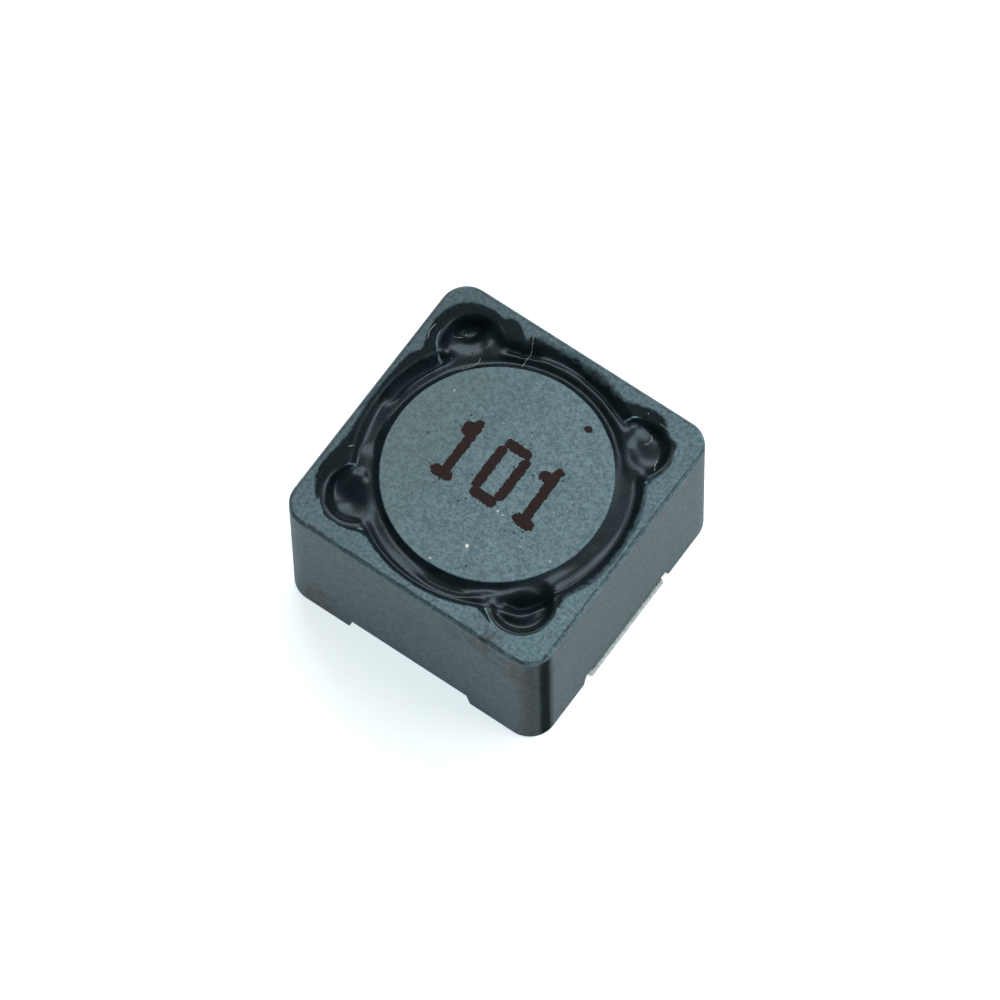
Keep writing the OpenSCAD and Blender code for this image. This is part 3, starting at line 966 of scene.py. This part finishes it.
def epoxy_finish():
    """Black epoxy, from glossy and deep to matt and thin."""
    material, tree_nodes, links, shader = new_material("black_epoxy")
    where = millimetres(tree_nodes, links)
    cloud = grain(tree_nodes, links, where, 1.3)
    fine = grain(tree_nodes, links, where, 9.0)
    film = attribute(tree_nodes, "film")
    run_out = attribute(tree_nodes, "run_out")
    drained = attribute(tree_nodes, "drained")
    colour = tint(tree_nodes, links, (0.003, 0.008, 0.010), (0.007, 0.016, 0.020),
                  remap(tree_nodes, links, cloud, 0.35, 0.65))
    dried = tint(tree_nodes, links, (0.004, 0.009, 0.011), (0.012, 0.021, 0.025),
                 remap(tree_nodes, links, fine, 0.35, 0.65))
    colour = tint(tree_nodes, links, colour, dried, run_out)
    ragged = remap(tree_nodes, links, grain(tree_nodes, links, where, 4.0), 0.3, 0.7, -0.3, 0.3)
    through = remap(tree_nodes, links, math_node(tree_nodes, links, "ADD", film, ragged), 0.4, 1.15)
    colour = tint(tree_nodes, links, colour, (0.095, 0.155, 0.172), through)
    links.new(colour, shader.inputs["Base Color"])
    shine = remap(tree_nodes, links, fine, 0.3, 0.7, 0.24, 0.31)
    thin = math_node(tree_nodes, links, "MAXIMUM", run_out, film)
    dull = math_node(tree_nodes, links, "MULTIPLY", thin, 0.35)
    links.new(math_node(tree_nodes, links, "ADD", shine, dull), shader.inputs["Roughness"])
    # Dull where the epoxy is thin, and painted shade in the slots, where the shine is turned down.
    thin_and_slot_shade = math_node(tree_nodes, links, "MAXIMUM", thin, drained)
    gloss = remap(tree_nodes, links, thin_and_slot_shade, 0.0, 1.0, 0.36, 0.1)
    links.new(gloss, shader.inputs["Specular IOR Level"])
    put(shader, Specular_Tint=(0.72, 0.92, 1.0, 1))
    bump(tree_nodes, links, shader, fine, 0.003 * MM)
    return material


epoxy = add_piece("epoxy_fill", build_epoxy(), epoxy_finish())
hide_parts("top_epoxy")
print("epoxy faces", len(epoxy.data.polygons))

# %% [markdown]
# ## The print
#
# A code is sprayed on the disc by an ink-jet coder, which leaves fat strokes with ragged
# edges and small drops round them. The code here is a plain, generic number, with a dot
# near the disc's edge. A stroke of a digit is a bar, and drops are scattered near the
# bars by a seeded random source, so they fall in the same places each time.

# %% Bars and drops
BARS = [
    # two ends and a half width, in mm
    ((-1.80, 1.20), (-1.80, -1.15), 0.21), ((-1.82, 1.38), (-1.80, 1.38), 0.19),
    ((-2.12, 1.05), (-2.05, 0.85), 0.23), ((-2.12, -1.20), (-1.62, -1.20), 0.25),
    ((-0.30, 1.36), (0.48, 1.34), 0.23), ((-0.44, 0.95), (-0.42, -0.80), 0.22),
    ((0.68, 1.00), (0.66, -0.75), 0.22), ((-0.28, -1.12), (0.50, -1.14), 0.24),
    ((1.98, 1.20), (2.02, -1.10), 0.22), ((2.02, 1.42), (2.03, 1.44), 0.20),
    ((1.62, 1.02), (1.70, 1.00), 0.24), ((1.78, -1.12), (2.28, -1.14), 0.24),
]
DOT = ((1.85, 3.66), (1.87, 3.65), 0.16)
DROP_COUNT = 120
drop_source = random.Random(41)
DROPS = []
for _ in range(DROP_COUNT):
    bar = drop_source.choice(BARS)
    middle = Vector(bar[0]).lerp(Vector(bar[1]), drop_source.random())
    away = Vector((drop_source.gauss(0.0, 0.3), drop_source.gauss(-0.14, 0.3)))
    DROPS.append((middle + away, drop_source.uniform(0.02, 0.05)))
print("bars:", len(BARS), "drops:", len(DROPS))

# %% [markdown]
# The print's shape is a distance field: the gap to the nearest bar or drop, made uneven
# with noise. A fine grid is laid over the disc, the cells outside the field are deleted,
# the stepped edge is smoothed, and the patch is given the thickness of the ink. It is a
# thin solid and not a painted mask, so its ragged edge stays sharp from close by.

# %% Print the code
PRINT_CELL = 0.024
INK_THICKNESS = 0.006
PATCHES = [
    # two opposite corners of each grid, in mm: the code's and the dot's
    ((-2.7, -1.9), (2.9, 1.9)), ((1.5, 3.3), (2.2, 4.0)),
]


def ink_gap(x, y):
    """Distance in mm to the ink's edge; negative is inside."""
    rough = 0.05 * noise.noise(Vector((x * 5, y * 5, 2.0)))
    rough += 0.03 * noise.noise(Vector((x * 13, y * 13, 5.0)))
    gap = 9.0
    for (ax, ay), (bx, by), half_width in BARS + [DOT]:
        along_x, along_y = bx - ax, by - ay
        share = ((x - ax) * along_x + (y - ay) * along_y) / (along_x**2 + along_y**2)
        share = min(max(share, 0.0), 1.0)
        gap = min(gap, math.hypot(x - ax - along_x * share, y - ay - along_y * share) - half_width)
    gap += rough
    for middle, half_width in DROPS:
        gap = min(gap, math.hypot(x - middle.x, y - middle.y) - half_width)
    return gap


def build_print():
    """The code and the dot as thin patches on the disc."""
    mesh = bmesh.new()
    for low, high in PATCHES:
        cells = [round((high[i] - low[i]) / PRINT_CELL) for i in (0, 1)]
        fit = Matrix.Diagonal(((high[0] - low[0]) / 2, (high[1] - low[1]) / 2, 1, 1))
        middle = Matrix.Translation(((low[0] + high[0]) / 2, (low[1] + high[1]) / 2, 0))
        bmesh.ops.create_grid(mesh, x_segments=cells[0], y_segments=cells[1], size=1, matrix=middle @ fit)
    outside = []
    for face in mesh.faces:
        centre = face.calc_center_median()
        if ink_gap(centre.x, centre.y) > 0:
            outside.append(face)
    bmesh.ops.delete(mesh, geom=outside, context="FACES")
    for _ in range(2):
        rim = [vert for vert in mesh.verts if vert.is_boundary]
        bmesh.ops.smooth_vert(mesh, verts=rim, factor=0.5, use_axis_x=True, use_axis_y=True)
    top = bmesh.ops.extrude_face_region(mesh, geom=mesh.faces[:] + mesh.edges[:] + mesh.verts[:])["geom"]
    lifted = [item for item in top if isinstance(item, bmesh.types.BMVert)]
    bmesh.ops.translate(mesh, verts=lifted, vec=(0, 0, INK_THICKNESS))
    bmesh.ops.scale(mesh, vec=(MM, MM, MM), verts=mesh.verts)
    bmesh.ops.translate(mesh, vec=(0, 0, DISC_Z), verts=mesh.verts)
    bmesh.ops.recalc_face_normals(mesh, faces=mesh.faces[:])
    return mesh


def ink():
    """Matt maroon ink."""
    material, tree_nodes, links, shader = new_material("printing_ink")
    where = millimetres(tree_nodes, links)
    patchy = grain(tree_nodes, links, where, 8.0, 3.0, 0.7)
    colour = tint(tree_nodes, links, (0.017, 0.008, 0.008), (0.036, 0.017, 0.017),
                  remap(tree_nodes, links, patchy, 0.35, 0.7))
    links.new(colour, shader.inputs["Base Color"])
    put(shader, Roughness=0.7, Specular_IOR_Level=0.2)
    return material


code = add_piece("printed_code", build_print(), ink())
print("code faces", len(code.data.polygons))

# %% [markdown]
# ## Lint
#
# Epoxy is tacky before it cures, and a few fibres and crumbs have stuck to it. A fibre
# starts as a tiny disc of six points. Each step extrudes the disc and moves the new one
# along a smooth path, and the walls that this leaves behind are the tube. The first and
# the last disc are its caps. The path lies on the epoxy, and stays below its highest
# point, so lint never makes the part taller. A crumb is a very short fibre.

# %% Lay the fibres
LINT_TOP = 0.045
FIBRES = [
    # radius in mm, then the path
    (0.013, [(-2.25, 6.00), (-2.20, 5.62), (-1.98, 5.20), (-1.92, 4.84), (-1.92, 4.42)]),
    (0.012, [(-3.95, 3.60), (-3.66, 3.80), (-3.46, 3.72), (-3.50, 3.38), (-3.74, 3.02), (-3.98, 2.82)]),
    (0.014, [(-5.06, 4.04), (-4.84, 4.08), (-4.62, 4.30), (-4.68, 4.48)]),
    (0.014, [(-5.76, 3.92), (-5.79, 3.55), (-5.66, 3.22)]),
    (0.014, [(4.84, 4.16), (4.90, 3.90), (5.08, 3.64)]),
    (0.012, [(4.02, 4.96), (4.16, 4.70), (4.04, 4.42)]),
    (0.030, [(-5.50, -2.45), (-5.40, -2.34), (-5.34, -2.28)]),
    (0.024, [(-4.46, 3.12), (-4.43, 3.09)]),
    (0.020, [(-3.92, 3.78), (-3.84, 3.80)]),
    (0.020, [(3.44, 5.56), (3.46, 5.50)]),
    (0.022, [(5.62, 5.38), (5.66, 5.40)]),
]


def build_fibres():
    """All fibres and crumbs as closed tubes in one mesh."""
    mesh = bmesh.new()
    for radius, points in FIBRES:
        spots = []
        for place in smooth_path(points):
            inside = place.length < top_reach(math.atan2(place.y, place.x))
            base = epoxy_height(place.x, place.y) if inside else 0.0
            height = min(base + 1.3 * radius, LINT_TOP - radius)
            spots.append(Vector((place.x, place.y, RIM_Z / MM + height)) * MM)
        turn = (spots[1] - spots[0]).to_track_quat("Z", "Y").to_matrix().to_4x4()
        end = bmesh.ops.create_circle(mesh, cap_ends=True, segments=6, radius=radius * MM,
                                      matrix=Matrix.Translation(spots[0]) @ turn)
        cap = end["verts"][0].link_faces[0]
        for here, there in zip(spots, spots[1:]):
            grown = bmesh.ops.extrude_face_region(mesh, geom=[cap])["geom"]
            moved = [item for item in grown if isinstance(item, bmesh.types.BMVert)]
            bmesh.ops.translate(mesh, verts=moved, vec=there - here)
            cap = next(item for item in grown if isinstance(item, bmesh.types.BMFace))
    bmesh.ops.recalc_face_normals(mesh, faces=mesh.faces[:])
    return mesh


def fibre_material():
    """Grey lint, paler in places."""
    material, tree_nodes, links, shader = new_material("lint_fibre")
    patchy = grain(tree_nodes, links, millimetres(tree_nodes, links), 3.0)
    colour = tint(tree_nodes, links, (0.20, 0.23, 0.23), (0.55, 0.58, 0.56), patchy)
    links.new(colour, shader.inputs["Base Color"])
    put(shader, Roughness=0.7)
    return material


lint = add_piece("lint", build_fibres(), fibre_material(), 80)
print("lint faces", len(lint.data.polygons))
